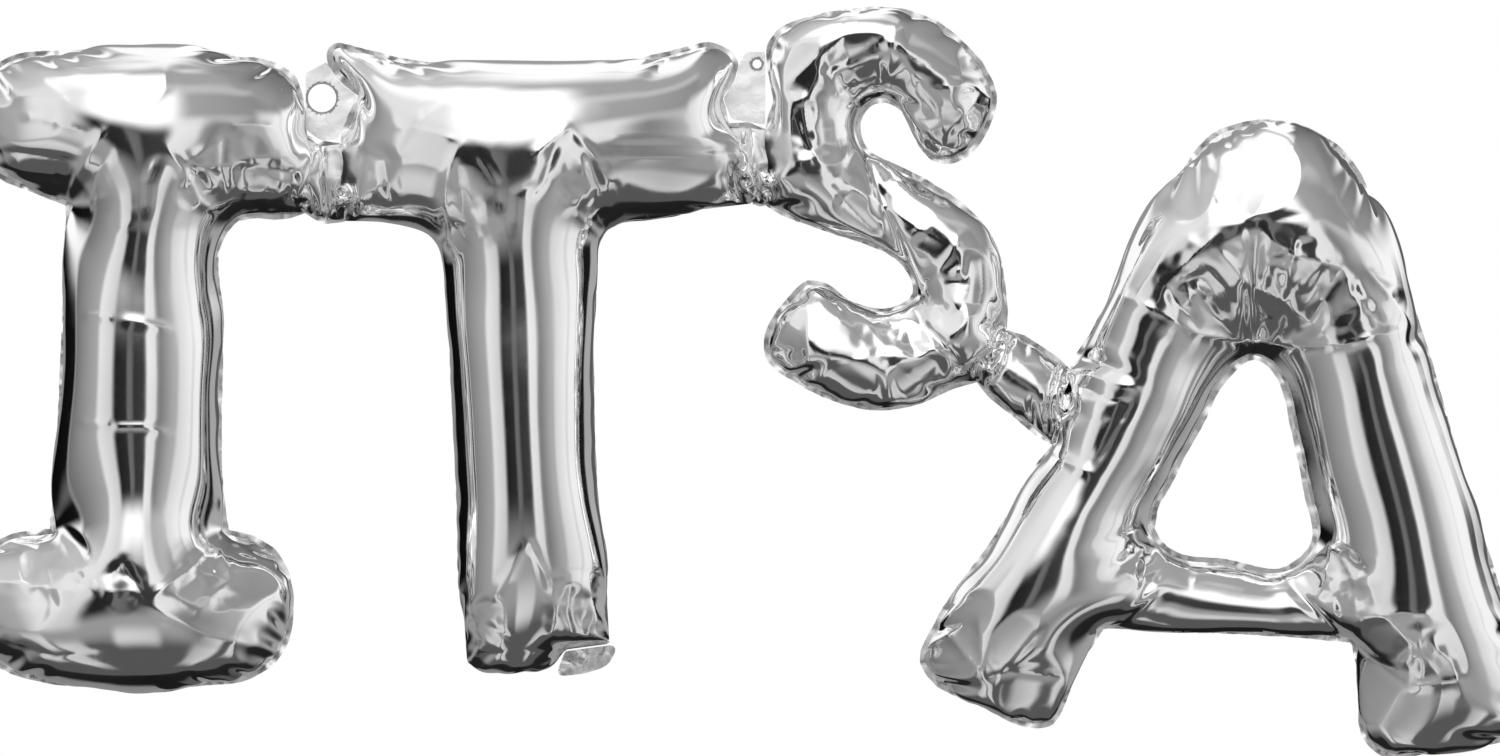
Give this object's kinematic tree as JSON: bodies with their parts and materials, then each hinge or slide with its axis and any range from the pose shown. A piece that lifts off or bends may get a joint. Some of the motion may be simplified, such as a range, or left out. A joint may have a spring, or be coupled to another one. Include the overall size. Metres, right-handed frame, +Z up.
{
  "type": "letter foil balloon",
  "caption": "Row of joined inflated silver foil letters reading ITS A, with welded seams, air necks between letters, punched hanging tabs and a filling valve.",
  "frame": {"origin": "middle of the small hanging hole in the tab between T and S, where the row of letters balances", "axes": "+X along the row of letters as it is read, +Y away from the reader through the thickness, +Z up"},
  "size_m": [0.6651, 0.0688, 0.3183],
  "materials": {
    "mirror_foil": "mirror-bright metallised plastic film, crinkled at the seams",
    "seam_foil": "heat-welded film edge, finely puckered",
    "tab_foil": "flat silver film, slightly crumpled",
    "valve_film": "thin film tail of the self-sealing valve"
  },
  "bodies": {
    "letter_t": {"letter_t_front": "mirror_foil", "letter_t_back": "mirror_foil", "letter_t_seam_upper": "seam_foil", "letter_t_seam_lower": "seam_foil", "neck_i_t_front": "mirror_foil", "neck_i_t_back": "mirror_foil", "neck_t_s_front": "mirror_foil", "neck_t_s_back": "mirror_foil", "tab_i_t": "tab_foil", "tab_t_s": "tab_foil", "filling_valve": "valve_film"},
    "letter_i": {"letter_i_front": "mirror_foil", "letter_i_back": "mirror_foil", "letter_i_seam": "seam_foil"},
    "letter_s": {"letter_s_front": "mirror_foil", "letter_s_back": "mirror_foil", "letter_s_seam_upper": "seam_foil", "letter_s_seam_lower": "seam_foil"},
    "letter_a": {"letter_a_front": "mirror_foil", "letter_a_back": "mirror_foil", "letter_a_seam": "seam_foil", "letter_a_counter_seam": "seam_foil", "neck_s_a_front": "mirror_foil", "neck_s_a_back": "mirror_foil"}
  },
  "joints": [
    {"name": "swing_i", "type": "hinge", "parent": "letter_t", "child": "letter_i", "pos_m": [-0.1912, 0, -0.046], "axis": [0, 0, 1], "range_deg": [-30, 30], "stiffness_Nm_per_rad": 0.03},
    {"name": "swing_s", "type": "hinge", "parent": "letter_t", "child": "letter_s", "pos_m": [0.0038, 0, -0.044], "axis": [0, 0, 1], "range_deg": [-30, 30], "stiffness_Nm_per_rad": 0.03},
    {"name": "swing_a", "type": "hinge", "parent": "letter_s", "child": "letter_a", "pos_m": [0.0986, 0, -0.1248], "axis": [0.5, 0, 0.866], "range_deg": [-30, 30], "stiffness_Nm_per_rad": 0.03}
  ]
}
